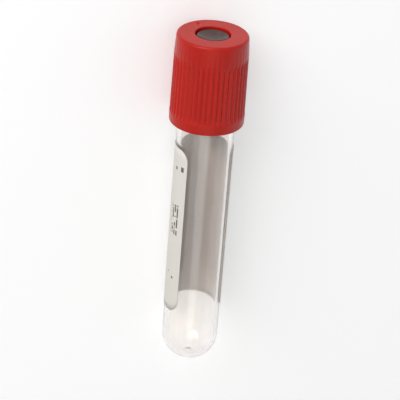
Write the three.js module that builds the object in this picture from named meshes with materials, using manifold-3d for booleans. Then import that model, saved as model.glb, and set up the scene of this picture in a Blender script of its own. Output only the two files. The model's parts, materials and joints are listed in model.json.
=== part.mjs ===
// An evacuated blood collection tube: a clear moulded tube, a rubber stopper held in a ribbed
// safety shield, and a paper label wrapped round the tube with a clear strip left open.
//
// Millimetres. Each piece is turned about Y, with the tube's round end at Y = 0 and its rim at
// Y = TUBE_LENGTH, and angles round it run from +Z towards +X. The assembly lies on its side as
// it comes to rest, on its round end and on the shield's hem, with the label's weight below and
// the clear strip on top: +Y runs along the tube towards the closure, and +Z is up.

import * as THREE from 'three';
import { mergeVertices } from 'three/addons/utils/BufferGeometryUtils.js';
import Module from 'manifold-3d';

// Clearances
const PIECE_GAP = 0.3; // between the tube, the stopper and the shield
const ADHESIVE_GAP = 0.12; // between the tube and its label
const SKIRT_CLEARANCE = 0.7; // round the tube, inside the shield's skirt

// Tube
const TUBE_DIAMETER = 13;
const TUBE_LENGTH = 75;
const TUBE_WALL = 1.05;
const RIM_ROUND = 0.3;
const GATE_DIMPLE_RADIUS = 1.1;
const GATE_DIMPLE_DEPTH = 0.2;

// Stopper
const PLUG_LENGTH = 6.6;
const PLUG_CHAMFER = 0.7;
const HOLLOW_RADIUS = 3.2; // the hollow in the plug's underside
const HOLLOW_DEPTH = 3.4;
const FLANGE_OVERHANG = 0.5; // how far the flange reaches past the tube
const FLANGE_HEIGHT = 4.8;
const FLANGE_CHAMFER = 0.5;
const BOSS_RECESS = 0.5; // the boss's top edge lies this far inside the shield's needle hole
const BOSS_CHAMFER = 0.2;
const DISH_DEPTH = 0.9;

// Safety shield
const SKIRT_OVERLAP = 14.2; // how far the skirt reaches down over the tube
const SKIRT_WALL = 0.8; // between the ribs, at their lower ends
const HEM_WALL = 1.2; // at its lower edge
const HEM_HEIGHT = 2.2; // the smooth band under the ribs
const HEM_ROUND = 0.3;
const BAND_HEIGHT = 4.4; // the smooth band over the ribs
const BAND_FLARE = 0.1; // how much wider the band is at its foot
const CROWN_WALL = 0.6; // round the stopper's flange
const CROWN_THICKNESS = 1.1; // the ring over the stopper
const CROWN_ROUND = 0.6;
const NEEDLE_HOLE_RADIUS = 3.9;
const HOLE_ROUND = 0.2;
const BEAD_HEIGHT = 1; // the ridge that the stopper's flange snaps over
const BEAD_RAMP = 0.5;
const RIB_COUNT = 44;
const RIB_HEIGHT = 0.3;
const RIB_DRAFT = 0.15; // how much further out the ribs stand at their lower ends
const RIB_RUN_OUT = 0.45; // the slope at each end of a rib
const GATE_MARK_RADIUS = 0.6; // the dimple that the moulding gate leaves in the crown
const GATE_MARK_DEPTH = 0.35;
const GATE_MARK_TURN = THREE.MathUtils.degToRad(191);

// Label
const LABEL_THICKNESS = 0.1;
const LABEL_DROP = 5.8; // from the shield's hem to the label's top edge
const LABEL_HEIGHT = 41;
const LABEL_CORNER = 2.6;
const STRIP_TURN = THREE.MathUtils.degToRad(110); // how far round the label leaves the tube clear

// Steps round each piece
const RESTING_STEPS = 20; // of the tube and the hem, each of which rests on one facet
const STOPPER_STEPS = 44;
const STEPS_PER_RIB = 4;
const BORE_STEPS = 88;
const LABEL_STEPS = 50;
const CORNER_STEPS = 4;
const GATE_MARK_STEPS = 12;
const CUT_MARGIN = 1; // how far a cutting solid runs past the face that it opens

// Sizes that follow from the ones above
const tubeRadius = TUBE_DIAMETER / 2;
const tubeBore = tubeRadius - TUBE_WALL;
const flangeRadius = tubeRadius + FLANGE_OVERHANG;
const flangeFoot = TUBE_LENGTH + PIECE_GAP;
const flangeTop = flangeFoot + FLANGE_HEIGHT;
const crownUnderside = flangeTop + PIECE_GAP;
const shieldTop = crownUnderside + CROWN_THICKNESS;
const hem = TUBE_LENGTH - SKIRT_OVERLAP;
const skirtBore = tubeRadius + SKIRT_CLEARANCE;
const recessRadius = flangeRadius + PIECE_GAP;
const crownRadius = recessRadius + CROWN_WALL;
const ribFoot = hem + HEM_HEIGHT;
const ribTop = shieldTop - BAND_HEIGHT;
const rootRadiusLow = skirtBore + SKIRT_WALL;
const rootRadiusHigh = rootRadiusLow - RIB_DRAFT;
const hemRadius = skirtBore + HEM_WALL;
const hemFoot = hem + HEM_ROUND;
const halfFacet = Math.PI / RESTING_STEPS;
// How steeply the floor rises against the tube's axis, from its round end to the hem: along the
// facets' edges, and along the middle of the two facets that rest on it.
const edgeSlope = (hemRadius - tubeRadius) / (hemFoot - tubeRadius);
const restLean = Math.atan(edgeSlope * Math.cos(halfFacet));

const point = (radius, height) => new THREE.Vector2(radius, height);

/** Points on a quarter or other arc about (radius, height), from one angle to another. */
function arc(radius, height, size, from, to, steps) {
  return Array.from({ length: steps + 1 }, (_, i) => {
    const angle = from + ((to - from) * i) / steps;
    return point(radius + size * Math.cos(angle), height + size * Math.sin(angle));
  });
}

/** One closed skin with its shared vertices merged and its bare positions only. */
function closed(geometry) {
  geometry.deleteAttribute('normal');
  geometry.deleteAttribute('uv');
  return mergeVertices(geometry, 1e-5);
}

const turned = (profile, steps, start = 0) => closed(new THREE.LatheGeometry(profile, steps, start));

// Joins and cuts
const wasm = await Module();
wasm.setup();

function solid(geometry) {
  const { position } = geometry.attributes;
  return new wasm.Manifold(
    new wasm.Mesh({
      numProp: 3,
      vertProperties: new Float32Array(position.array),
      triVerts: new Uint32Array(geometry.index.array),
    }),
  );
}

function geometryOf(manifold) {
  const { numProp, vertProperties, triVerts } = manifold.getMesh();
  const geometry = new THREE.BufferGeometry();
  const vertices = new THREE.InterleavedBuffer(vertProperties, numProp);
  geometry.setAttribute('position', new THREE.InterleavedBufferAttribute(vertices, 3, 0));
  geometry.setIndex(new THREE.BufferAttribute(triVerts, 1));
  return geometry;
}

/** A straight tube of even wall with a round end, a rounded rim and a dimple at its gate. */
function tubeGeometry() {
  const dimpleTurn = Math.asin(GATE_DIMPLE_RADIUS / tubeRadius) - Math.PI / 2;
  // The round end's last step lies flat on the floor.
  const roundEnd = arc(0, tubeRadius, tubeRadius, dimpleTurn, -2 * Math.atan(edgeSlope), 9);
  const rimMiddle = TUBE_LENGTH - RIM_ROUND;
  return turned(
    [
      point(0, GATE_DIMPLE_DEPTH),
      ...roundEnd,
      point(tubeRadius, tubeRadius),
      ...arc(tubeRadius - RIM_ROUND, rimMiddle, RIM_ROUND, 0, Math.PI / 2, 3),
      ...arc(tubeBore + RIM_ROUND, rimMiddle, RIM_ROUND, Math.PI / 2, Math.PI, 3),
      ...arc(0, tubeRadius, tubeBore, 0, -Math.PI / 2, 9),
    ],
    RESTING_STEPS,
    halfFacet,
  );
}

/** The stopper: a hollow plug in the tube, a flange over its rim and a dished boss on top. */
function stopperGeometry() {
  const plugRadius = tubeBore - PIECE_GAP;
  const plugFoot = flangeFoot - PLUG_LENGTH;
  const hollowTop = plugFoot + HOLLOW_DEPTH;
  const bossRadius = NEEDLE_HOLE_RADIUS - PIECE_GAP;
  const bossTop = shieldTop - BOSS_RECESS;
  const dishRadius = bossRadius - BOSS_CHAMFER;
  // The sphere that meets the boss's edge and lies DISH_DEPTH below it in the middle.
  const dishSphere = (dishRadius ** 2 + DISH_DEPTH ** 2) / (2 * DISH_DEPTH);
  const dishEdge = Math.asin(dishRadius / dishSphere) - Math.PI / 2;
  return turned(
    [
      point(0, hollowTop),
      ...arc(0, hollowTop - HOLLOW_RADIUS / 2, HOLLOW_RADIUS / 2, Math.PI / 2, Math.PI / 4, 2)
        .slice(1),
      point(HOLLOW_RADIUS, plugFoot),
      point(plugRadius - PLUG_CHAMFER, plugFoot),
      point(plugRadius, plugFoot + PLUG_CHAMFER),
      point(plugRadius, flangeFoot),
      point(flangeRadius, flangeFoot),
      point(flangeRadius, flangeTop - FLANGE_CHAMFER),
      point(flangeRadius - FLANGE_CHAMFER, flangeTop),
      point(bossRadius, flangeTop),
      point(bossRadius, bossTop - BOSS_CHAMFER),
      ...arc(0, bossTop - DISH_DEPTH + dishSphere, dishSphere, dishEdge, -Math.PI / 2, 5),
    ],
    STOPPER_STEPS,
  );
}

/** Raises a wave of ribs on the skin, so that a valley lies on each axis and ribs beside it. */
function raiseRibs(geometry) {
  const { position } = geometry.attributes;
  for (let i = 0; i < position.count; i += 1) {
    const x = position.getX(i);
    const z = position.getZ(i);
    const height = position.getY(i);
    const radius = Math.hypot(x, z);
    if (height > ribFoot + RIB_RUN_OUT / 2 && height < ribTop - RIB_RUN_OUT / 2) {
      const ridge = (1 - Math.cos(Math.atan2(x, z) * RIB_COUNT)) / 2;
      const out = (radius + RIB_HEIGHT * ridge) / radius;
      position.setXYZ(i, x * out, height, z * out);
    }
  }
  return geometry;
}

/** The hem as a solid: its side flares as the floor rises, so that one facet lies flat on it. */
function hemRing() {
  const rise = ribFoot - RIB_RUN_OUT / 2 - hemFoot;
  return turned(
    [
      point(0, hem),
      ...arc(hemRadius - HEM_ROUND, hemFoot, HEM_ROUND, -Math.PI / 2, 0, 2),
      point(hemRadius + rise * edgeSlope, hemFoot + rise),
      point(rootRadiusLow, ribFoot),
      point(0, ribFoot),
    ],
    RESTING_STEPS,
    halfFacet,
  );
}

/** The outside over the hem as a solid, from the ribs over the band to the crown. */
function ribbedSkirt() {
  const bandFoot = crownRadius + BAND_FLARE;
  return raiseRibs(
    turned(
      [
        point(0, hemFoot),
        point(rootRadiusLow, hemFoot),
        point(rootRadiusLow, ribFoot + RIB_RUN_OUT),
        point(rootRadiusHigh, ribTop - RIB_RUN_OUT),
        point(rootRadiusHigh, ribTop),
        point(bandFoot, ribTop + RIB_RUN_OUT / 2),
        ...arc(crownRadius - CROWN_ROUND, shieldTop - CROWN_ROUND, CROWN_ROUND, 0, Math.PI / 2, 4),
        point(0, shieldTop),
      ],
      RIB_COUNT * STEPS_PER_RIB,
    ),
  );
}

/** What is cut out of the shield: the skirt's bore, the stopper's recess and the needle hole. */
function shieldInside() {
  const beadRadius = tubeRadius + PIECE_GAP;
  const beadTop = flangeFoot - PIECE_GAP;
  const beadFoot = beadTop - BEAD_HEIGHT;
  return turned(
    [
      point(0, hem - CUT_MARGIN),
      point(skirtBore, hem - CUT_MARGIN),
      point(skirtBore, beadFoot - BEAD_RAMP),
      point(beadRadius, beadFoot),
      point(beadRadius, beadTop),
      point(recessRadius, beadTop),
      point(recessRadius, crownUnderside),
      point(NEEDLE_HOLE_RADIUS, crownUnderside),
      ...arc(NEEDLE_HOLE_RADIUS + HOLE_ROUND, shieldTop - HOLE_ROUND, HOLE_ROUND, Math.PI,
        Math.PI / 2, 2),
      point(NEEDLE_HOLE_RADIUS + HOLE_ROUND, shieldTop + CUT_MARGIN),
      point(0, shieldTop + CUT_MARGIN),
    ],
    BORE_STEPS,
  );
}

/** What is cut out of the crown at its gate, halfway between the needle hole and the edge. */
function gateMark() {
  const reach = (NEEDLE_HOLE_RADIUS + crownRadius) / 2;
  // The dimple sinks by half a wave of a cosine.
  const bowl = [0, 1 / 3, 2 / 3, 1].map((share) => (
    point(share * GATE_MARK_RADIUS, (-GATE_MARK_DEPTH * (1 + Math.cos(share * Math.PI))) / 2)
  ));
  const mark = turned(
    [...bowl, point(GATE_MARK_RADIUS, CUT_MARGIN), point(0, CUT_MARGIN)],
    GATE_MARK_STEPS,
  );
  return mark.translate(
    reach * Math.sin(GATE_MARK_TURN),
    shieldTop,
    reach * Math.cos(GATE_MARK_TURN),
  );
}

function shieldGeometry() {
  const outside = solid(hemRing()).add(solid(ribbedSkirt()));
  return geometryOf(outside.subtract(solid(shieldInside()).add(solid(gateMark()))));
}

/** Where the label's columns stand along its arc: even ones, and close ones at its corners. */
function labelColumns(length) {
  const corner = Array.from({ length: CORNER_STEPS }, (_, i) => (
    LABEL_CORNER * (1 - Math.cos((i * Math.PI) / 2 / CORNER_STEPS))
  ));
  const plain = Array.from({ length: LABEL_STEPS + 1 }, (_, i) => (
    LABEL_CORNER + ((length - 2 * LABEL_CORNER) * i) / LABEL_STEPS
  ));
  return [...corner, ...plain, ...corner.map((along) => length - along).reverse()];
}

/** A sheet bent round the tube from the clear strip's one edge to its other, corners rounded. */
function labelGeometry() {
  const inside = tubeRadius + ADHESIVE_GAP;
  const turn = 2 * Math.PI - STRIP_TURN;
  const length = turn * inside;
  const columns = labelColumns(length);
  const middle = hem - LABEL_DROP - LABEL_HEIGHT / 2;
  const last = columns.length - 1;
  const sheet = closed(new THREE.BoxGeometry(last, 1, LABEL_THICKNESS, last, 1, 1));
  const { position } = sheet.attributes;
  for (let i = 0; i < position.count; i += 1) {
    const along = columns[Math.round(position.getX(i) + last / 2)];
    const toCorner = Math.max(0, LABEL_CORNER - Math.min(along, length - along));
    const cut = LABEL_CORNER - Math.sqrt(LABEL_CORNER ** 2 - toCorner ** 2);
    const angle = STRIP_TURN / 2 + along / inside;
    const radius = inside + LABEL_THICKNESS / 2 + position.getZ(i);
    position.setXYZ(
      i,
      radius * Math.sin(angle),
      middle + 2 * position.getY(i) * (LABEL_HEIGHT / 2 - cut),
      radius * Math.cos(angle),
    );
  }
  return sheet;
}

function piece(name, geometry, look) {
  const mesh = new THREE.Mesh(geometry, new THREE.MeshStandardMaterial(look));
  mesh.name = name;
  return mesh;
}

const clearPlastic = { color: 0xe9e7e3, roughness: 0.08, transparent: true, opacity: 0.35 };
const rubber = { color: 0x453c3a, roughness: 0.5 };
const redPlastic = { color: 0xc22a1c, roughness: 0.38 };
const paper = { color: 0xe6e3dc, roughness: 0.75 };

const collectionTube = new THREE.Group();
collectionTube.add(
  piece('tube', tubeGeometry(), clearPlastic),
  piece('label', labelGeometry(), paper),
  piece('stopper', stopperGeometry(), rubber),
  piece('safety_shield', shieldGeometry(), redPlastic),
);
collectionTube.rotation.x = restLean;

// The origin is under the middle of the part, on the floor that it lies on.
const box = new THREE.Box3().setFromObject(collectionTube, true);
const middle = box.getCenter(new THREE.Vector3());
collectionTube.position.set(-middle.x, -middle.y, -box.min.z);

export default collectionTube;
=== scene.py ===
"""Looks of a blood collection tube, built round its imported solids.

The tube is clear moulded plastic with a round end. A rubber stopper closes it under a ribbed red
safety shield, and a paper label goes round it with a strip left clear. Each visible piece is a
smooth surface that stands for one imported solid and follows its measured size.

Places are told by three numbers: a radius from the tube's axis, a height over the tube's rim
along that axis, and a turn round it. The tube lies on its side, so a turn of zero faces up.
"""

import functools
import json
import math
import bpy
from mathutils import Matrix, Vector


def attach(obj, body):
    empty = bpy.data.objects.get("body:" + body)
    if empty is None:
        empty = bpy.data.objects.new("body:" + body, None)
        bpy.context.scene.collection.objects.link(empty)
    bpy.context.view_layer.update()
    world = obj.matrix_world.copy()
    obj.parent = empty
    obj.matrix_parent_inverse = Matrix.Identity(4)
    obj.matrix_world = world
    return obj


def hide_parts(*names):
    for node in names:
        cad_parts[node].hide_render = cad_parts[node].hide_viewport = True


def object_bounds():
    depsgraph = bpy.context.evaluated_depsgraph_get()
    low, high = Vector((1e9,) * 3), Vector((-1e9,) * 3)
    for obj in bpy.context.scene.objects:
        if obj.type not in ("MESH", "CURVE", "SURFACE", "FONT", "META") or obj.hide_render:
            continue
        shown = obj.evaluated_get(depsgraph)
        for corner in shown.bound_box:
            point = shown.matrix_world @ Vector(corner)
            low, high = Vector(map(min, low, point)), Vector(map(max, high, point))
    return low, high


bl_info = {
    "name": "Blood Collection Tube",
    "version": (1, 0, 0),
    "blender": (4, 5, 0),
    "location": "View3D > Sidebar > Sample Tube",
    "description": "Builds a sample tube with its label, stopper and ribbed safety shield",
    "category": "Add Mesh",
}

import bmesh
import bpy
import numpy as np
from bpy.props import FloatProperty, FloatVectorProperty, IntProperty, PointerProperty
from bpy.types import Operator, Panel, PropertyGroup
from mathutils import Matrix, Vector

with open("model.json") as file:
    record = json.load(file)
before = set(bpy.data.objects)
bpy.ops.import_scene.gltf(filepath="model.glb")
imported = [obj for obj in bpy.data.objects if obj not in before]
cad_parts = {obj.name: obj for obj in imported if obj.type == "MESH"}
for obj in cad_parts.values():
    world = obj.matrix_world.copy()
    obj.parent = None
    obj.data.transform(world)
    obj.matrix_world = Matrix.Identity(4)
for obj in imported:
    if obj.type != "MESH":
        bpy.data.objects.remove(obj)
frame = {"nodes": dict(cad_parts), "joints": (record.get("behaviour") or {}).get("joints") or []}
CAD_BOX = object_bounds()

MM = 0.001
LABEL_MAP = "label_sheet"
WELD = 1e-7  # corners nearer than this are one
LEVEL = 0.01 * MM  # measured corners nearer than this are at one radius or height
SHARP_TURN = math.radians(35)  # edges that turn more than this stay crisp


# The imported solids, measured along the tube and round it

ALONG = np.array(frame["joints"][0]["axis"], float)
ALONG /= np.linalg.norm(ALONG)
ASIDE = np.array((1.0, 0.0, 0.0))
OUTWARD = np.cross(ASIDE, ALONG)


def corners(node):
    """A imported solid's corners, one point a row."""
    mesh = frame["nodes"][node].data
    found = np.empty(len(mesh.vertices) * 3, np.float32)
    mesh.vertices.foreach_get("co", found)
    return found.reshape(-1, 3).astype(float)


def rim_centre():
    """The middle of the tube's rim: halfway between its furthest points, each way across."""
    points = corners("tube")
    heights = points @ ALONG
    rim = points[heights > heights.max() - LEVEL]
    aside, outward = ((rim @ way).min() / 2 + (rim @ way).max() / 2 for way in (ASIDE, OUTWARD))
    return aside * ASIDE + outward * OUTWARD + heights.max() * ALONG


RIM = rim_centre()


def measured(node):
    """Each corner's radius, height and turn, as three arrays."""
    points = corners(node) - RIM
    aside, outward = points @ ASIDE, points @ OUTWARD
    return np.hypot(aside, outward), points @ ALONG, np.arctan2(aside, outward)


def clear_strip():
    """The turns at which the label starts and ends: on either side of its corners' widest gap."""
    turns = np.sort(measured("label")[2])
    gaps = np.diff(turns, append=turns[0] + 2 * math.pi)
    last = gaps.argmax()
    return turns[(last + 1) % len(turns)], turns[last]


TUBE_RADII, TUBE_HEIGHTS, TUBE_TURNS = measured("tube")
TUBE_CORNERS = TUBE_RADII > TUBE_RADII.max() - LEVEL
ROUND_END = TUBE_HEIGHTS[TUBE_CORNERS].min() - TUBE_RADII.max()
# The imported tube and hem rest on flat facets, which lie this share of their corners' radius out.
FACET = math.cos(np.diff(np.sort(TUBE_TURNS[TUBE_CORNERS])).max() / 2)
TUBE_RADIUS = TUBE_RADII.max() * FACET
STOPPER_RADII, STOPPER_HEIGHTS, _ = measured("stopper")
FLANGE_RADIUS = STOPPER_RADII.max()
SHIELD_RADII, SHIELD_HEIGHTS, _ = measured("safety_shield")
HEM = SHIELD_HEIGHTS.min()
CROWN = SHIELD_HEIGHTS[SHIELD_RADII > FLANGE_RADIUS].max()
_, LABEL_HEIGHTS, _ = measured("label")
LABEL_TOP, LABEL_FOOT = LABEL_HEIGHTS.max(), LABEL_HEIGHTS.min()
LABEL_START, LABEL_END = clear_strip()


# Settings

def length(name, description, default):
    """A length that a user may change, in metres."""
    return FloatProperty(
        name=name, description=description, default=default, min=0.0, precision=5, unit="LENGTH"
    )


def angle(name, description, default):
    """An angle that a user may change, given here in degrees."""
    return FloatProperty(
        name=name, description=description, default=math.radians(default), subtype="ANGLE"
    )


def colour(name, description, *display):
    """A colour that a user may change, given here as display values of 0 to 255.

    They are made linear by the usual display curve: a short straight part near black, and a
    power above it."""
    linear = [((v / 255 + 0.055) / 1.055) ** 2.4 if v > 10 else v / 255 / 12.92 for v in display]
    return FloatVectorProperty(
        name=name, description=description, subtype="COLOR", min=0.0, max=1.0, default=linear
    )


class TubeSettings(PropertyGroup):
    """Sizes and colours of the clear tube."""

    wall: length("Wall", "Thickness of the tube's wall", 1.05 * MM)
    rim_round: length("Rim rounding", "Radius of the rim's two edges", 0.3 * MM)
    dimple: length("Gate dimple", "Radius of the dimple in the round end", 1.1 * MM)
    dimple_depth: length("Dimple depth", "How far the dimple goes in", 0.2 * MM)
    plastic: colour("Plastic", "Tint of the clear plastic", 251, 248, 246)
    steps: IntProperty(name="Steps", description="Steps round the tube", default=192, min=24)


class StopperSettings(PropertyGroup):
    """Sizes and colours of the rubber stopper."""

    gap: length("Gap", "Room between the stopper and its neighbours", 0.3 * MM)
    hollow: length("Hollow", "Radius of the hollow under the plug", 3.2 * MM)
    hollow_depth: length("Hollow depth", "How far up the hollow reaches", 3.4 * MM)
    plug_chamfer: length("Plug chamfer", "Bevel at the plug's foot", 0.7 * MM)
    edge_round: length("Edge rounding", "Radius of the flange's upper edge", 0.5 * MM)
    boss_round: length("Boss rounding", "Radius of the boss's edge", 0.2 * MM)
    dish: length("Dish", "Depth of the hollow that the needle enters", 0.9 * MM)
    rubber: colour("Rubber", "Colour of the stopper", 68, 46, 41)
    steps: IntProperty(name="Steps", description="Steps round the stopper", default=128, min=24)


class ShieldSettings(PropertyGroup):
    """Sizes and colours of the ribbed safety shield."""

    ribs: IntProperty(name="Ribs", description="Grip ribs round the skirt", default=44, min=8)
    rib_height: length("Rib height", "How far a rib stands out", 0.3 * MM)
    run_out: length("Rib run-out", "Length over which a rib fades at each end", 0.9 * MM)
    band: length("Band", "Height of the smooth band over the ribs", 4.4 * MM)
    hem: length("Hem", "Height of the smooth band under the ribs", 2.2 * MM)
    hem_round: length("Hem rounding", "Radius of the hem's outer edge", 0.3 * MM)
    skirt_gap: length("Skirt gap", "Room round the tube, inside the skirt", 0.7 * MM)
    gap: length("Gap", "Room round the stopper and the tube's rim", 0.3 * MM)
    bead: length("Bead", "Height of the ridge under the stopper's flange", 1.0 * MM)
    crown: length("Crown", "Thickness of the ring over the stopper", 1.1 * MM)
    crown_round: length("Crown rounding", "Radius of the crown's outer edge", 0.6 * MM)
    hole: length("Needle hole", "Radius of the hole in the crown", 3.9 * MM)
    mark: length("Gate mark", "Radius of the gate's dimple in the crown", 0.6 * MM)
    mark_depth: length("Mark depth", "How far the gate's dimple goes in", 0.35 * MM)
    mark_turn: angle("Mark turn", "Where round the crown the gate's dimple lies", 191)
    red: colour("Red", "Colour of the plastic", 180, 25, 12)


class LabelSettings(PropertyGroup):
    """Sizes and colours of the paper label."""

    thickness: length("Thickness", "Thickness of the paper", 0.1 * MM)
    corner: length("Corner", "Radius of the label's corners", 2.6 * MM)
    paper: colour("Paper", "Colour of the paper", 222, 218, 210)
    # The back is darker than the paper's face: painted shade for the inside of the tube, where it
    # is seen through the clear strip.
    back: colour("Back", "Colour of the paper's gummed side", 197, 187, 180)
    ink: colour("Ink", "Colour of the print", 92, 88, 86)


class StageSettings(PropertyGroup):
    """The camera's place and the floor."""

    strip: angle("Strip", "How far the label's edge lies left of the camera's line", 31)
    elevation: angle("Elevation", "How far the camera looks down on the crown", 23.4)
    lean: angle("Lean", "How far the tube leans in the picture", 4.0)
    field: angle("Field", "The camera's angle of view", 11.0)
    distance: length("Distance", "From the crown to the camera", 449 * MM)
    floor: colour("Floor", "Colour of the floor", 232, 232, 232)
    lift: FloatProperty(name="Lift", description="Light that the seen floor adds", default=0.34)


class SampleTubeSettings(PropertyGroup):
    """All settings of the sample tube."""

    tube: PointerProperty(type=TubeSettings)
    stopper: PointerProperty(type=StopperSettings)
    shield: PointerProperty(type=ShieldSettings)
    label: PointerProperty(type=LabelSettings)
    stage: PointerProperty(type=StageSettings)


# Surfaces

def placed(radius, height, turn):
    """Points in the row frame at these radii, heights and turns, whose shapes may differ."""
    radius, height, turn = np.broadcast_arrays(radius, height, turn)
    return (
        RIM
        + np.multiply.outer(height, ALONG)
        + np.multiply.outer(radius * np.sin(turn), ASIDE)
        + np.multiply.outer(radius * np.cos(turn), OUTWARD)
    )


def rounded(outline, steps=6, flat=0.06 * MM, loop=False):
    """Rounds an outline of (radius, height, rounding) corners.

    A corner with a rounding becomes an arc tangent to both its sides: its ends lie
    rounding / tan(half angle) from the corner, and its points are turned from the one end to
    the other about the arc's middle. A point just outside each end keeps the side flat."""
    spots = np.array([corner[:2] for corner in outline], float)
    found = []
    for i, (_, _, rounding) in enumerate(outline):
        if not rounding or (not loop and i in (0, len(outline) - 1)):
            found.append(spots[i][None])
            continue
        back = spots[i - 1] - spots[i]
        on = spots[(i + 1) % len(spots)] - spots[i]
        back, on = back / np.linalg.norm(back), on / np.linalg.norm(on)
        half = math.acos(np.clip(back @ on, -1, 1)) / 2
        reach = rounding / math.tan(half)
        middle = spots[i] + (back + on) / np.linalg.norm(back + on) * rounding / math.sin(half)
        first, last = spots[i] + back * reach - middle, spots[i] + on * reach - middle
        sweep = math.pi - 2 * half
        share = np.linspace(0, 1, steps + 1)[:, None]
        curve = np.sin((1 - share) * sweep) * first + np.sin(share * sweep) * last
        found += [
            spots[i][None] + back * (reach + flat),
            middle + curve / math.sin(sweep),
            spots[i][None] + on * (reach + flat),
        ]
    return np.concatenate(found)


def arc(radius, height, size, start, end, steps):
    """Corners without rounding on an arc about (radius, height), between two angles."""
    angles = np.radians(np.linspace(start, end, steps + 1))
    return [
        (r, h, 0.0) for r, h in zip(radius + size * np.cos(angles), height + size * np.sin(angles))
    ]


def grid_faces(rows, columns, join_rows, join_columns):
    """The quads over a grid of points, as rows of four corner numbers."""
    row = np.arange(rows if join_rows else rows - 1)[:, None]
    column = np.arange(columns if join_columns else columns - 1)[None, :]
    row_on, column_on = (row + 1) % rows * columns, (column + 1) % columns
    row = row * columns
    quads = (row + column, row + column_on, row_on + column_on, row_on + column)
    return np.stack(np.broadcast_arrays(*quads), -1).reshape(-1, 4)


def new_piece(name, points, join_rows=False, join_columns=True, slots=None):
    """An object over a grid of points, with its poles welded and its faces smooth.

    Each row of faces may have its own material, by its number in slots."""
    rows, columns = points.shape[:2]
    mesh = bpy.data.meshes.new(name)
    mesh.from_pydata(points.reshape(-1, 3), [], grid_faces(rows, columns, join_rows, join_columns))
    if slots is not None:
        across = columns if join_columns else columns - 1
        mesh.polygons.foreach_set("material_index", np.repeat(slots, across).astype(np.int32))
    shape = bmesh.new()
    shape.from_mesh(mesh)
    bmesh.ops.remove_doubles(shape, verts=shape.verts, dist=WELD)
    shape.to_mesh(mesh)
    shape.free()
    mesh.shade_smooth()
    mesh.set_sharp_from_angle(angle=SHARP_TURN)
    piece = bpy.data.objects.new(name, mesh)
    bpy.context.scene.collection.objects.link(piece)
    return piece


def revolved(name, outline, steps, slots=None):
    """An outline of radii and heights carried round the tube's axis."""
    turns = np.linspace(0, 2 * math.pi, steps, endpoint=False)
    return new_piece(name, placed(outline[:, :1], outline[:, 1:], turns), slots=slots)


def stands_for(piece, node, body):
    """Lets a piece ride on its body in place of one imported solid."""
    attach(piece, body)
    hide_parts(node)


# Materials

CLEAR_IOR = 1.57  # of the tube's plastic
LET_THROUGH = (0.93, 0.93, 0.92, 1)  # what a lamp's light keeps when it crosses the tube's plastic


class Field:
    """A number or vector that changes over a surface.

    Sums on it add Math nodes, with the field on either side, and | takes the greater value."""

    def __init__(self, finish, socket):
        self.finish = finish
        self.socket = socket

    def math(self, operation, *operands):
        """Adds a Math node over fields and numbers, in the order given."""
        sockets = dict(enumerate(operands))
        return self.finish.node("ShaderNodeMath", {"operation": operation}, sockets)

    def __add__(self, other):
        return self.math("ADD", self, other)

    def __sub__(self, other):
        return self.math("SUBTRACT", self, other)

    def __rsub__(self, other):
        return self.math("SUBTRACT", other, self)

    def __mul__(self, other):
        return self.math("MULTIPLY", self, other)

    def __truediv__(self, other):
        return self.math("DIVIDE", self, other)

    def __rtruediv__(self, other):
        return self.math("DIVIDE", other, self)

    def __mod__(self, other):
        return self.math("FLOORED_MODULO", self, other)

    def __rmod__(self, other):
        return self.math("FLOORED_MODULO", other, self)

    def __gt__(self, other):
        return self.math("GREATER_THAN", self, other)

    def __lt__(self, other):
        return self.math("LESS_THAN", self, other)

    def __or__(self, other):
        return self.math("MAXIMUM", self, other)

    def __floor__(self):
        return self.math("FLOOR", self)

    __radd__ = __add__
    __rmul__ = __mul__
    __ror__ = __or__

    def between(self, low, high):
        """1 where this lies between two values, 0 elsewhere."""
        return (self > low) * (self < high)


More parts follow.
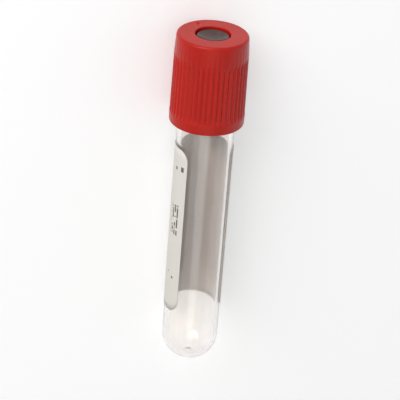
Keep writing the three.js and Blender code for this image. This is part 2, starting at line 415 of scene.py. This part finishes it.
class Finish:
    """The nodes of one material or world, and the one way in which nodes are added to them."""

    def __init__(self, owner):
        self.owner = owner
        owner.use_nodes = True
        self.tree = owner.node_tree
        self.tree.nodes.clear()

    def node(self, kind, settings=None, sockets=None, output=0):
        """Adds a node, its settings first and then the values or links of its sockets."""
        node = self.tree.nodes.new(kind)
        for name, value in (settings or {}).items():
            setattr(node, name, value)
        for name, value in (sockets or {}).items():
            if isinstance(value, Field):
                self.tree.links.new(value.socket, node.inputs[name])
            else:
                node.inputs[name].default_value = value
        return Field(self, node.outputs[output]) if node.outputs else None

    def show(self, surface, kind="Material"):
        """Ends the tree in a surface and returns the material or world."""
        self.node("ShaderNodeOutput" + kind, sockets={"Surface": surface})
        return self.owner

    def looked_at(self):
        """1 for the rays that show a thing to the camera: seen, mirrored or through glass."""
        ways = ("Is Camera Ray", "Is Glossy Ray", "Is Transmission Ray")
        camera, glossy, glass = (self.node("ShaderNodeLightPath", output=way) for way in ways)
        return camera | glossy | glass

    def place(self, *stretch):
        """Object coordinates along the tube's own ways (aside, along, outward), stretched."""
        lean = math.atan2(ALONG[2], ALONG[1])
        coordinates = self.node("ShaderNodeTexCoord", output="Object")
        turned = self.node(
            "ShaderNodeVectorRotate",
            {"rotation_type": "X_AXIS"},
            {"Vector": coordinates, "Center": RIM, "Angle": -lean},
        )
        return self.node("ShaderNodeMapping", sockets={"Vector": turned, "Scale": stretch})

    def noise(self, place, scale, detail=3.0, roughness=0.5):
        """Smooth noise of about 0 to 1, with scale waves a metre."""
        return self.node(
            "ShaderNodeTexNoise",
            sockets={"Vector": place, "Scale": scale, "Detail": detail, "Roughness": roughness},
        )

    def ranged(self, value, low, high, to_low, to_high):
        """A value moved smoothly from one range to another and held at its ends."""
        return self.node(
            "ShaderNodeMapRange",
            {"interpolation_type": "SMOOTHSTEP"},
            {
                "Value": value,
                "From Min": low,
                "From Max": high,
                "To Min": to_low,
                "To Max": to_high,
            },
        )

    def mixed(self, share, first, second):
        """One colour turned into another by a share of 0 to 1."""
        return self.node(
            "ShaderNodeMix", {"data_type": "RGBA"}, {0: share, 6: first, 7: second}, output=2
        )

    def bumped(self, height, distance):
        """A normal that follows a height, in metres of relief."""
        return self.node("ShaderNodeBump", sockets={"Height": height, "Distance": distance})

    def principled(self, **sockets):
        """A Principled shader; an underscore in a name stands for a space."""
        named = {name.replace("_", " "): value for name, value in sockets.items()}
        return self.node("ShaderNodeBsdfPrincipled", sockets=named)


def shade(base, factor):
    """A base colour made lighter or darker, with its alpha."""
    return (*(min(c * factor, 1.0) for c in base), 1.0)


def clear_plastic(settings):
    """Clear moulded plastic, faintly rippled along the tube, that lets lamps through."""
    finish = Finish(bpy.data.materials.new("clear_plastic"))
    ripples = finish.noise(finish.place(1, 0.12, 1), 900, detail=2)
    glass = finish.principled(
        Base_Color=shade(settings.plastic, 1),
        Roughness=0.03,
        IOR=CLEAR_IOR,
        Transmission_Weight=1.0,
        Normal=finish.bumped(ripples, 0.008 * MM),
    )
    return finish.show(lamp_through(finish, glass))


def coated_plastic(settings):
    """The tube's inner wall: clear plastic under a sprayed film of dried additive."""
    finish = Finish(bpy.data.materials.new("coated_plastic"))
    clouds = finish.noise(finish.place(1, 0.5, 1), 420, detail=5, roughness=0.6)
    glass = finish.principled(
        Base_Color=finish.mixed(
            finish.ranged(clouds, 0.3, 0.75, 0, 1),
            shade(settings.plastic, 0.99),
            shade(settings.plastic, 0.93),
        ),
        Roughness=0.12,
        IOR=CLEAR_IOR,
        Transmission_Weight=1.0,
        Normal=finish.bumped(clouds, 0.01 * MM),
    )
    return finish.show(lamp_through(finish, glass))


def satin_plastic(settings):
    """The tube's rim: satin, so that it shows pale although the wall leads its light away."""
    finish = Finish(bpy.data.materials.new("satin_plastic"))
    glass = finish.principled(
        Base_Color=shade(settings.plastic, 0.97),
        Roughness=0.12,
        IOR=CLEAR_IOR,
        Transmission_Weight=0.55,
        Normal=finish.bumped(finish.noise(finish.place(1, 1, 1), 5000), 0.004 * MM),
    )
    return finish.show(lamp_through(finish, glass))


def lamp_through(finish, glass):
    """Glass to every ray but a lamp's, which goes straight through a little dimmed."""
    path = finish.node("ShaderNodeLightPath", output="Is Shadow Ray")
    open_way = finish.node("ShaderNodeBsdfTransparent", sockets={"Color": LET_THROUGH})
    return finish.node("ShaderNodeMixShader", sockets={0: path, 1: glass, 2: open_way})


def dark_rubber(settings):
    """Moulded rubber: dark, satin, with a bloom that greys it in patches."""
    finish = Finish(bpy.data.materials.new("dark_rubber"))
    place = finish.place(1, 1, 1)
    bloom = finish.ranged(finish.noise(place, 700, detail=4), 0.35, 0.75, 0, 1)
    grain = finish.noise(place, 7000, detail=3)
    skin = finish.principled(
        Base_Color=finish.mixed(bloom, shade(settings.rubber, 0.85), shade(settings.rubber, 1.25)),
        Roughness=finish.ranged(grain, 0.2, 0.8, 0.16, 0.26),
        Specular_IOR_Level=0.5,
        Normal=finish.bumped(grain, 0.006 * MM),
    )
    return finish.show(skin)


def red_plastic(settings):
    """Moulded red plastic with a fine satin grain and faint flow marks along the skirt."""
    finish = Finish(bpy.data.materials.new("red_plastic"))
    flow = finish.noise(finish.place(1, 0.2, 1), 260, detail=2)
    grain = finish.noise(finish.place(1, 1, 1), 9000, detail=2)
    skin = finish.principled(
        Base_Color=finish.mixed(
            finish.ranged(flow, 0.3, 0.7, 0, 1),
            shade(settings.red, 0.96),
            shade(settings.red, 1.04),
        ),
        Roughness=finish.ranged(grain, 0.2, 0.8, 0.25, 0.35),
        Specular_IOR_Level=0.22,
        Subsurface_Weight=0.12,
        Subsurface_Radius=(1.0, 0.25, 0.15),
        Subsurface_Scale=0.6 * MM,
        Normal=finish.bumped(grain, 0.003 * MM),
    )
    return finish.show(skin)


def paper_fibres(finish):
    """The relief of coated paper."""
    return finish.noise(finish.place(1, 1, 1), 5000, detail=5, roughness=0.65)


def printed_paper(settings):
    """The label's face: coated paper with grey print, laid out in millimetres on its UV map."""
    finish = Finish(bpy.data.materials.new("printed_paper"))
    fibres = paper_fibres(finish)
    ink = label_print(finish)
    paper = finish.mixed(fibres, shade(settings.paper, 0.97), shade(settings.paper, 1.03))
    skin = finish.principled(
        Base_Color=finish.mixed(ink, paper, shade(settings.ink, 1)),
        Roughness=finish.ranged(ink, 0, 1, 0.55, 0.45),
        Normal=finish.bumped(fibres, 0.004 * MM),
    )
    return finish.show(skin)


def shaded_paper_back(settings):
    """The label's inner face, darker than its printed face: painted shade inside the tube."""
    finish = Finish(bpy.data.materials.new("shaded_paper_back"))
    fibres = paper_fibres(finish)
    skin = finish.principled(
        Base_Color=finish.mixed(fibres, shade(settings.back, 0.97), shade(settings.back, 1.03)),
        Roughness=0.6,
        Normal=finish.bumped(fibres, 0.004 * MM),
    )
    return finish.show(skin)


INKED = (0.2, 0.78)  # where a line of small print starts and ends, over the lines' pitch
STROKE = 0.42  # length of its strokes over the pitch
BLANK = 0.28  # share of the strokes that are left out, as spaces
RULES = (11.0, 14.6, 18.2)  # where the rules of the written fields lie, in millimetres


def label_size(settings):
    """The label's length round the tube and along it, in millimetres."""
    radius = TUBE_RADIUS + settings.thickness
    return (LABEL_END - LABEL_START) % (2 * math.pi) * radius / MM, (LABEL_TOP - LABEL_FOOT) / MM


def label_print(finish):
    """Where the print lies: small lines, a ring, a rule for each written field and two marks.

    All places are in millimetres: first round the tube, from the label's edge beside the clear
    strip, and then down, from its upper edge."""
    wide, tall = label_size(bpy.context.scene.sample_tube.label)
    corner = finish.node("ShaderNodeUVMap", {"uv_map": LABEL_MAP})
    sides = finish.node("ShaderNodeSeparateXYZ", sockets={"Vector": corner}).socket.node.outputs
    around, down = Field(finish, sides["X"]) * wide, Field(finish, sides["Y"]) * tall

    def patch(left, top, width, height):
        """1 inside a small field."""
        return around.between(left, left + width) * down.between(top, top + height)

    def away_from(left, top):
        """The distance from a point."""
        here = finish.node("ShaderNodeCombineXYZ", sockets={"X": around, "Y": down})
        return finish.node(
            "ShaderNodeVectorMath",
            {"operation": "DISTANCE"},
            {0: here, 1: (left, top, 0)},
            output="Value",
        )

    def small_print(left, top, width, height, pitch, seed):
        """Lines that run along the tube, each broken into strokes and words by white noise."""
        line = around / pitch
        place = finish.node(
            "ShaderNodeCombineXYZ",
            sockets={"X": math.floor(line) + seed, "Y": math.floor(down / (pitch * STROKE))},
        )
        stroke = finish.node(
            "ShaderNodeTexWhiteNoise", {"noise_dimensions": "2D"}, {"Vector": place}
        )
        return patch(left, top, width, height) * (line % 1).between(*INKED) * (stroke > BLANK)

    marks = [
        patch(0.9, 4.0, 0.8, 1.2),
        patch(3.0, 4.5, 0.6, 0.8),
        patch(3.7, 31.3, 0.35, 0.25),
        away_from(2.2, 32.4) < 0.3,
        small_print(1.35, 13.8, 2.7, 7.6, 0.75, 3),
        away_from(9.5, 5.2).between(1.25, 1.7),
        patch(8.9, 4.9, 1.2, 0.6),
        small_print(12.0, 3.4, 7.5, 6.0, 0.75, 11),
        small_print(21.0, 3.4, 3.0, 11.0, 0.6, 23),
        small_print(21.0, 24.0, 3.0, 10.0, 0.6, 31),
        *(patch(left, 12.0, 0.14, 24.0) for left in RULES),
        *(small_print(left - 1.4, 12.0, 0.9, 3.2, 0.9, 40 + left) for left in RULES),
        patch(25.2, 9.2, 2.4, 0.16),
    ]
    return functools.reduce(Field.__or__, marks)


# Pieces

# Roundings of moulded edges that have no setting of their own
TINY, SMALL, MEDIUM, LARGE = 0.1 * MM, 0.15 * MM, 0.2 * MM, 0.3 * MM
HEM_EDGE = 0.12 * MM  # rounding of the hem's inner edge
DIMPLE_FLOOR = 0.75  # radius of the flat floor of the round end's dimple, over the dimple's own
WALL_STATIONS = (0.25, 0.5, 0.75)  # points on the straight wall, as shares of its length
LIP_SHARE = 0.9  # share of the lip round the stopper's dish that its rounding takes up
STEPS_PER_RIB = 14
RIB_STATIONS = 24  # points along the ribs
RIB_CREST = 0.65  # the wave's power: under 1 it broadens a rib's crest
MARK_STATIONS = 13  # points across the gate's dimple in the crown
BEAD_RAMP = 1.5  # where the slope under the inner ridge starts, over the ridge's height
RIBBED = 1.2 * MM  # only the shield's outside lies further than this from the tube
LABEL_LIFT = 0.01 * MM  # from the tube to the label's gummed side
LABEL_ROWS = 25  # points along the label
LABEL_COLUMNS = 121  # points round it, between its corners
CORNER_COLUMNS = 13  # points round it, in each corner


def build_tube(settings):
    """A straight tube with a round end. Its outline goes from the gate dimple up the outside,
    over the rim and down the bore, whose end has the same middle as the outer one."""
    middle = ROUND_END + TUBE_RADIUS
    bore = TUBE_RADIUS - settings.wall
    dimple_turn = math.degrees(math.asin(settings.dimple / TUBE_RADIUS)) - 90
    outside = rounded(
        [
            (0, ROUND_END + settings.dimple_depth, 0),
            (settings.dimple * DIMPLE_FLOOR, ROUND_END + settings.dimple_depth, 0),
            *arc(0, middle, TUBE_RADIUS, dimple_turn, 0, steps=40),
            *((TUBE_RADIUS, middle * share, 0) for share in reversed(WALL_STATIONS)),
            (TUBE_RADIUS, 0, settings.rim_round),
            (bore, 0, settings.rim_round),
            (bore, -settings.wall * 2, 0),
        ]
    )
    inside = rounded(
        [
            *((bore, middle * share, 0) for share in WALL_STATIONS),
            *arc(0, middle, bore, 0, -90, steps=36),
        ]
    )
    outline = np.concatenate((outside, inside))
    outline[-1, 0] = 0
    # The bore's faces have the second plastic, and the rim's the third.
    inside_rows = np.arange(len(outline) - 1) >= len(outside)
    rim_rows = np.minimum(outline[:-1, 1], outline[1:, 1]) > -settings.rim_round - WELD
    tube = revolved("clear_tube", outline, settings.steps, slots=inside_rows + 2 * rim_rows)
    for plastic in (clear_plastic, coated_plastic, satin_plastic):
        tube.data.materials.append(plastic(settings))
    stands_for(tube, "tube", "tube_body")


def build_stopper(settings, shield, tube):
    """A turned plug, flange and dished boss. The dish is part of a sphere through the boss's
    edge whose lowest point is the dish's depth below it."""
    plug = TUBE_RADIUS - tube.wall - settings.gap
    plug_foot, boss_top = STOPPER_HEIGHTS.min(), STOPPER_HEIGHTS.max()
    flange_foot, flange_top = settings.gap, CROWN - shield.crown - settings.gap
    hollow_top = plug_foot + settings.hollow_depth
    boss = shield.hole - settings.gap
    lip = boss - settings.boss_round
    sphere = (lip**2 + settings.dish**2) / (2 * settings.dish)
    dish_turn = math.degrees(math.asin(lip / sphere)) - 90
    outline = rounded(
        [
            *arc(0, hollow_top - settings.hollow / 2, settings.hollow / 2, 90, 45, steps=8),
            (settings.hollow, plug_foot, SMALL),
            (plug - settings.plug_chamfer, plug_foot, MEDIUM),
            (plug, plug_foot + settings.plug_chamfer, LARGE),
            (plug, flange_foot, TINY),
            (FLANGE_RADIUS, flange_foot, SMALL),
            (FLANGE_RADIUS, flange_top, settings.edge_round),
            (boss, flange_top, TINY),
            (boss, boss_top, settings.boss_round * LIP_SHARE),
            *arc(0, boss_top - settings.dish + sphere, sphere, dish_turn, -90, steps=16),
        ]
    )
    outline[-1, 0] = 0
    stopper = revolved("rubber_stopper", outline, settings.steps)
    stopper.data.materials.append(dark_rubber(settings))
    stands_for(stopper, "stopper", "closure")


def widest(low, high):
    """The shield's greatest radius between two heights."""
    return SHIELD_RADII[(SHIELD_HEIGHTS > low) & (SHIELD_HEIGHTS < high)].max()


def mark_radius(settings):
    """Where the gate's dimple lies on the crown: halfway between its hole and its edge."""
    return (settings.hole + widest(CROWN - settings.crown, CROWN)) / 2


def shield_outline(settings):
    """The shield's section without its ribs, as a loop: up the outside and down the inside."""
    rib_foot, rib_top = HEM + settings.hem, CROWN - settings.band
    middle = (rib_foot + rib_top) / 2
    hem_low = widest(HEM, HEM + settings.hem / 4) * FACET
    hem_high = widest(HEM + settings.hem / 2, rib_foot) * FACET
    crests = widest(rib_foot, middle), widest(middle, rib_top)
    crown = widest(CROWN - settings.crown, CROWN)
    stations = np.linspace(rib_foot + settings.hem_round, rib_top, RIB_STATIONS)
    wall = np.interp(stations, (rib_foot, rib_top), crests)
    skirt, bead = TUBE_RADIUS + settings.skirt_gap, TUBE_RADIUS + settings.gap
    recess, underside = FLANGE_RADIUS + settings.gap, CROWN - settings.crown
    marked = np.linspace(settings.mark, -settings.mark, MARK_STATIONS) + mark_radius(settings)
    return rounded(
        [
            (skirt, HEM, HEM_EDGE),
            (hem_low, HEM, settings.hem_round),
            (hem_high, rib_foot, SMALL),
            *((r, h, 0) for r, h in zip(wall, stations)),
            (crown, CROWN, settings.crown_round),
            *((r, CROWN, 0) for r in marked),
            (settings.hole, CROWN, MEDIUM),
            (settings.hole, underside, TINY),
            (recess, underside, MEDIUM),
            (recess, 0, TINY),
            (bead, 0, TINY),
            (bead, -settings.bead, MEDIUM),
            (skirt, -settings.bead * BEAD_RAMP, MEDIUM),
        ],
        loop=True,
    )


def build_shield(settings):
    """The skirt, crown and inner ridge as one loop carried round the axis. The valleys between
    the ribs are cut rib height x reach(height) x (1 - ridge(turn)) deep: the reach is a smooth
    step at each end of the ribs, and the ridge a broadened cosine, 0 in a valley and 1 on a
    crest. The gate's dimple in the crown sinks by half a wave of a cosine of the distance to its
    middle."""
    outline = shield_outline(settings)
    radius, height = outline[:, :1], outline[:, 1:]
    turns = np.linspace(0, 2 * math.pi, settings.ribs * STEPS_PER_RIB, endpoint=False)
    rib_foot, rib_top = HEM + settings.hem, CROWN - settings.band
    to_end = np.minimum(height - rib_foot, rib_top - height) / settings.run_out
    reach = np.clip(to_end, 0, 1) ** 2 * (3 - 2 * np.clip(to_end, 0, 1))
    outer = radius > TUBE_RADIUS + RIBBED
    ridge = (0.5 - 0.5 * np.cos(turns * settings.ribs)) ** RIB_CREST
    across = mark_radius(settings)
    beside = 2 * radius * across * np.cos(turns - settings.mark_turn)
    away = np.sqrt(np.clip(radius**2 + across**2 - beside, 0, settings.mark**2)) / settings.mark
    dimple = (height == CROWN) * settings.mark_depth * (0.5 + 0.5 * np.cos(math.pi * away))
    cut = settings.rib_height * reach * outer * (1 - ridge)
    shield = new_piece(
        "ribbed_shield", placed(radius - cut, height - dimple, turns), join_rows=True
    )
    shield.data.materials.append(red_plastic(settings))
    stands_for(shield, "safety_shield", "closure")


def build_label(settings):
    """A sheet bent round the tube. Its columns close up at the two ends, where the corners'
    quarter circles shorten them by corner - sqrt(corner^2 - distance^2)."""
    radius = TUBE_RADIUS + settings.thickness + LABEL_LIFT
    sweep = (LABEL_END - LABEL_START) % (2 * math.pi)
    arc_length = sweep * radius
    close = settings.corner * (1 - np.cos(np.linspace(0, math.pi / 2, CORNER_COLUMNS)))
    plain = np.linspace(settings.corner, arc_length - settings.corner, LABEL_COLUMNS)[1:-1]
    along = np.concatenate((close, plain, (arc_length - close)[::-1]))
    toward = np.clip(settings.corner - np.minimum(along, arc_length - along), 0, None)
    cut = settings.corner - np.sqrt(settings.corner**2 - toward**2)
    rows = np.linspace(-1, 1, LABEL_ROWS)[:, None]
    middle, half = (LABEL_TOP + LABEL_FOOT) / 2, (LABEL_TOP - LABEL_FOOT) / 2
    height = middle + rows * (half - cut)
    sheet = new_piece(
        "paper_label", placed(radius, height, LABEL_START + along / radius), join_columns=False
    )
    fit_label_map(sheet.data, height, 1 - along / arc_length)
    solid = sheet.modifiers.new("paper", "SOLIDIFY")
    solid.thickness, solid.offset = settings.thickness, -1
    solid.material_offset, solid.material_offset_rim = 1, 1
    sheet.data.materials.append(printed_paper(settings))
    sheet.data.materials.append(shaded_paper_back(settings))
    stands_for(sheet, "label", "tube_body")


def fit_label_map(mesh, height, around):
    """The label's own UV map: round it from the clear strip's edge, and down from its top."""
    down = (LABEL_TOP - height) / (LABEL_TOP - LABEL_FOOT)
    flat = np.stack(np.broadcast_arrays(around, down), -1).reshape(-1, 2)
    loops = np.empty(len(mesh.loops), np.int32)
    mesh.loops.foreach_get("vertex_index", loops)
    mesh.uv_layers.new(name=LABEL_MAP).uv.foreach_set("vector", flat[loops].ravel())


# Stage

FLOOR_RINGS = (0.0, 0.3, 3.0)  # radii of the floor's rings of corners, in metres
FLOOR_STEPS = 64
LAMP_DISTANCE = 0.7  # in metres, from the tube's middle
AIR = 0.35  # the light that comes from all round


def pale_floor(settings):
    """A plain pale floor, lifted to white where it is seen and still darker in a shadow."""
    finish = Finish(bpy.data.materials.new("pale_floor"))
    matt = {"Base_Color": shade(settings.floor, 1), "Roughness": 0.85}
    seen = finish.principled(Emission_Color=(1, 1, 1, 1), Emission_Strength=settings.lift, **matt)
    return finish.show(
        finish.node(
            "ShaderNodeMixShader",
            sockets={0: finish.looked_at(), 1: finish.principled(**matt), 2: seen},
        )
    )


def build_floor(settings):
    """A flat round floor under everything, wide enough for low views."""
    out = np.array(FLOOR_RINGS)[:, None, None]
    ways = np.linspace(2 * math.pi, 0, FLOOR_STEPS, endpoint=False)
    ring = np.stack((np.cos(ways), np.sin(ways), 0 * ways), -1)
    floor = new_piece("floor", out * ring + (0, 0, CAD_BOX[0].z))
    floor.data.materials.append(pale_floor(settings))


def softbox(name, toward, size, power):
    """A square lamp that looks at the tube's middle from a way given aside, along and outward."""
    ways = np.array(toward, float) @ np.stack((ASIDE, ALONG, OUTWARD))
    ways /= np.linalg.norm(ways)
    lamp = bpy.data.lights.new(name, "AREA")
    lamp.shape, lamp.size, lamp.energy = "SQUARE", size, power
    box = bpy.data.objects.new(name, lamp)
    box.location = Vector(ways * LAMP_DISTANCE)
    box.rotation_euler = Vector(ways).to_track_quat("Z", "Y").to_euler()
    bpy.context.scene.collection.objects.link(box)


def build_lights():
    """Soft studio light: a key over the crown, a broad top light and a weak fill."""
    softbox("key", (-0.95, 1.2, 0.65), size=0.5, power=3.7)
    softbox("top", (-0.4, -0.25, 1.0), size=0.6, power=0.6)
    softbox("fill", (1.0, -0.3, 0.4), size=0.9, power=0.9)
    room = Finish(bpy.data.worlds.new("room"))
    light = room.node(
        "ShaderNodeBackground",
        sockets={"Color": (1, 1, 1, 1), "Strength": AIR + (1 - AIR) * room.looked_at()},
    )
    bpy.context.scene.world = room.show(light, "World")


def build_camera(settings):
    """A camera that looks down on the crown at the set angle, with the tube upright in view."""
    turn = LABEL_END + settings.strip
    outward = math.cos(turn) * OUTWARD + math.sin(turn) * ASIDE
    aside = math.cos(turn) * ASIDE - math.sin(turn) * OUTWARD
    eye = (
        RIM
        + CROWN * ALONG
        + settings.distance * math.cos(settings.elevation) * outward
        + settings.distance * math.sin(settings.elevation) * ALONG
    )
    target = RIM + (CROWN + ROUND_END) / 2 * ALONG
    back = (eye - target) / np.linalg.norm(eye - target)
    up = math.cos(settings.lean) * ALONG - math.sin(settings.lean) * aside
    right = np.cross(up, back)
    right /= np.linalg.norm(right)
    lens = bpy.data.cameras.new("camera")
    lens.angle = settings.field
    lens.clip_start = 10 * MM
    camera = bpy.data.objects.new("camera", lens)
    place = np.eye(4)
    place[:3] = np.stack((right, np.cross(back, right), back, eye), 1)
    camera.matrix_world = Matrix(place)
    bpy.context.scene.collection.objects.link(camera)
    bpy.context.scene.camera = camera


# Operators, panel and registration

class SAMPLETUBE_OT_tube(Operator):
    """Build the clear tube"""

    bl_idname = "sample_tube.tube"
    bl_label = "Clear Tube"

    def execute(self, context):
        build_tube(context.scene.sample_tube.tube)
        return {"FINISHED"}


class SAMPLETUBE_OT_stopper(Operator):
    """Build the rubber stopper"""

    bl_idname = "sample_tube.stopper"
    bl_label = "Stopper"

    def execute(self, context):
        settings = context.scene.sample_tube
        build_stopper(settings.stopper, settings.shield, settings.tube)
        return {"FINISHED"}


class SAMPLETUBE_OT_shield(Operator):
    """Build the ribbed safety shield"""

    bl_idname = "sample_tube.shield"
    bl_label = "Safety Shield"

    def execute(self, context):
        build_shield(context.scene.sample_tube.shield)
        return {"FINISHED"}


class SAMPLETUBE_OT_label(Operator):
    """Build the paper label"""

    bl_idname = "sample_tube.label"
    bl_label = "Label"

    def execute(self, context):
        build_label(context.scene.sample_tube.label)
        return {"FINISHED"}


class SAMPLETUBE_OT_stage(Operator):
    """Build the floor, the lights and the camera"""

    bl_idname = "sample_tube.stage"
    bl_label = "Stage"

    def execute(self, context):
        settings = context.scene.sample_tube.stage
        build_camera(settings)
        build_floor(settings)
        build_lights()
        context.scene.view_settings.view_transform = "Standard"
        return {"FINISHED"}


class SAMPLETUBE_PT_pieces(Panel):
    """Lists the pieces and their settings"""

    bl_label = "Sample Tube"
    bl_space_type = "VIEW_3D"
    bl_region_type = "UI"
    bl_category = "Sample Tube"

    def draw(self, context):
        for kind in OPERATORS:
            self.layout.operator(kind.bl_idname)
        for name in SampleTubeSettings.__annotations__:
            group = getattr(context.scene.sample_tube, name)
            box = self.layout.box()
            box.label(text=name.capitalize())
            for setting in group.__annotations__:
                box.prop(group, setting)


OPERATORS = (
    SAMPLETUBE_OT_stage,
    SAMPLETUBE_OT_tube,
    SAMPLETUBE_OT_label,
    SAMPLETUBE_OT_stopper,
    SAMPLETUBE_OT_shield,
)
CLASSES = (
    TubeSettings,
    StopperSettings,
    ShieldSettings,
    LabelSettings,
    StageSettings,
    SampleTubeSettings,
    *OPERATORS,
    SAMPLETUBE_PT_pieces,
)


def register():
    """Makes the classes known and gives the scene its settings."""
    for kind in CLASSES:
        bpy.utils.register_class(kind)
    bpy.types.Scene.sample_tube = PointerProperty(type=SampleTubeSettings)


def unregister():
    """Takes the settings and the classes away again."""
    del bpy.types.Scene.sample_tube
    for kind in reversed(CLASSES):
        bpy.utils.unregister_class(kind)


def main():
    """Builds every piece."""
    register()
    bpy.ops.sample_tube.stage()
    bpy.ops.sample_tube.tube()
    bpy.ops.sample_tube.label()
    bpy.ops.sample_tube.stopper()
    bpy.ops.sample_tube.shield()


if __name__ == "__main__":
    main()
